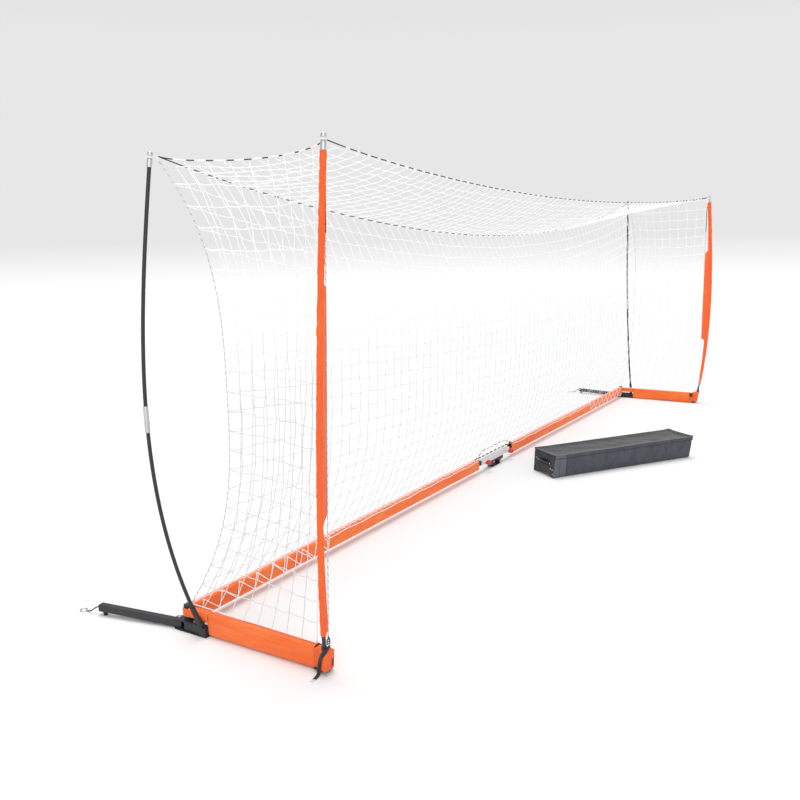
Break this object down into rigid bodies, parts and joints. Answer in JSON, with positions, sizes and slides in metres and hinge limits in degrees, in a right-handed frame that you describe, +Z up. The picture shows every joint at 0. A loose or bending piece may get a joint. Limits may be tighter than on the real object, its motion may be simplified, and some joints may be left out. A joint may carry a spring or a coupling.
{
  "type": "portable football goal",
  "caption": "Full-size portable goal with bowed poles, white net, orange sleeved base and swinging rear legs, beside its wheeled carry bag.",
  "frame": {"origin": "underside of the foot under the middle of the back bar, at ground level", "axes": "+X along the goal's width towards its far end in the picture, +Y away from the mouth towards the rear legs, +Z up"},
  "size_m": [7.6586, 2.2119, 2.4414],
  "materials": {
    "steel": "dark grey powder coat",
    "hub_steel": "dark grey powder coat",
    "pole": "smooth dark grey resin rod",
    "ferrule": "turned, satin",
    "zinc": "bright zinc plate",
    "orange_fabric": "woven, coated, orange",
    "webbing": "black woven webbing",
    "black_plastic": "fine grained",
    "red_plastic": "moulded, red",
    "black_rubber": "matt",
    "wheel_rubber": "smooth tread",
    "cable": "coated wire",
    "net": "knotted white cord",
    "net_cord": "braided white cord",
    "bag_fabric": "heavy coated cloth, dark grey"
  },
  "bodies": {
    "goal": {"back_bar_left": "steel", "back_bar_right": "steel", "back_bar_sleeve_left": "orange_fabric", "back_bar_sleeve_right": "orange_fabric", "centre_connector": "hub_steel", "centre_foot": "hub_steel", "corner_loops": "net_cord", "front_covers": "orange_fabric", "front_feet": "black_rubber", "front_pole_lower_left": "pole", "front_pole_lower_right": "pole", "front_pole_upper_left": "pole", "front_pole_upper_right": "pole", "front_socket_left": "hub_steel", "front_socket_right": "hub_steel", "front_strap_left": "webbing", "front_strap_right": "webbing", "hub_bolts": "zinc", "hub_frame_left": "hub_steel", "hub_frame_right": "hub_steel", "lacing": "net_cord", "lower_rail_left": "steel", "lower_rail_right": "steel", "net_back": "net", "net_edge_cords": "net_cord", "net_roof": "net", "net_side_left": "net", "net_side_right": "net", "pole_ferrules": "ferrule", "pole_sleeve_left": "orange_fabric", "pole_sleeve_right": "orange_fabric", "pole_tips": "ferrule", "rear_pole_lower_left": "pole", "rear_pole_lower_right": "pole", "rear_pole_upper_left": "pole", "rear_pole_upper_right": "pole", "rear_socket_left": "hub_steel", "rear_socket_right": "hub_steel", "side_sleeve_left": "orange_fabric", "side_sleeve_right": "orange_fabric", "strap_buckles": "black_plastic", "upper_rail_left": "steel", "upper_rail_right": "steel"},
    "left_leg": {"rear_leg_left": "steel", "leg_end_cap_left": "black_plastic", "anchor_cable_left": "cable", "anchor_ring_left": "zinc"},
    "left_knob": {"lock_knob_left": "red_plastic"},
    "right_leg": {"rear_leg_right": "steel", "leg_end_cap_right": "black_plastic", "anchor_cable_right": "cable", "anchor_ring_right": "zinc"},
    "right_knob": {"lock_knob_right": "red_plastic"},
    "bag": {"bag_tub": "bag_fabric", "bag_wheel_housing": "black_plastic", "bag_axle": "zinc", "bag_handle": "webbing"},
    "bag_lid": {"bag_lid": "bag_fabric"},
    "bag_wheel_left": {"bag_wheel_left": "wheel_rubber"},
    "bag_wheel_right": {"bag_wheel_right": "wheel_rubber"}
  },
  "joints": [
    {"name": "left_leg_swing", "type": "hinge", "parent": "goal", "child": "left_leg", "pos_m": [-3.655, 0.05, 0.026], "axis": [0, 0, -1], "range_deg": [-1, 101]},
    {"name": "right_leg_swing", "type": "hinge", "parent": "goal", "child": "right_leg", "pos_m": [3.655, 0.05, 0.026], "axis": [0, 0, 1], "range_deg": [-9, 93]},
    {"name": "left_knob_pull", "type": "slide", "parent": "goal", "child": "left_knob", "axis": [0, -1, 0], "range_m": [0, 0.012], "stiffness_N_per_m": 600, "springref_m": -0.004},
    {"name": "right_knob_pull", "type": "slide", "parent": "goal", "child": "right_knob", "axis": [0, -1, 0], "range_m": [0, 0.012], "stiffness_N_per_m": 600, "springref_m": -0.004},
    {"name": "bag_lift", "type": "slide", "parent": "goal", "child": "bag", "axis": [0, 0, 1], "range_m": [0, 0.5]},
    {"name": "bag_lid_hinge", "type": "hinge", "parent": "bag", "child": "bag_lid", "pos_m": [0.62746, -0.80002, 0.164], "axis": [-0.8241, 0.5664, 0], "range_deg": [0, 100]},
    {"name": "bag_wheel_left_spin", "type": "hinge", "parent": "bag", "child": "bag_wheel_left", "pos_m": [-0.13576, -0.63404, 0.0235], "axis": [0.5664, 0.8241, 0], "continuous": true},
    {"name": "bag_wheel_right_spin", "type": "hinge", "parent": "bag", "child": "bag_wheel_right", "pos_m": [0.01207, -0.41894, 0.0235], "axis": [0.5664, 0.8241, 0], "continuous": true}
  ]
}
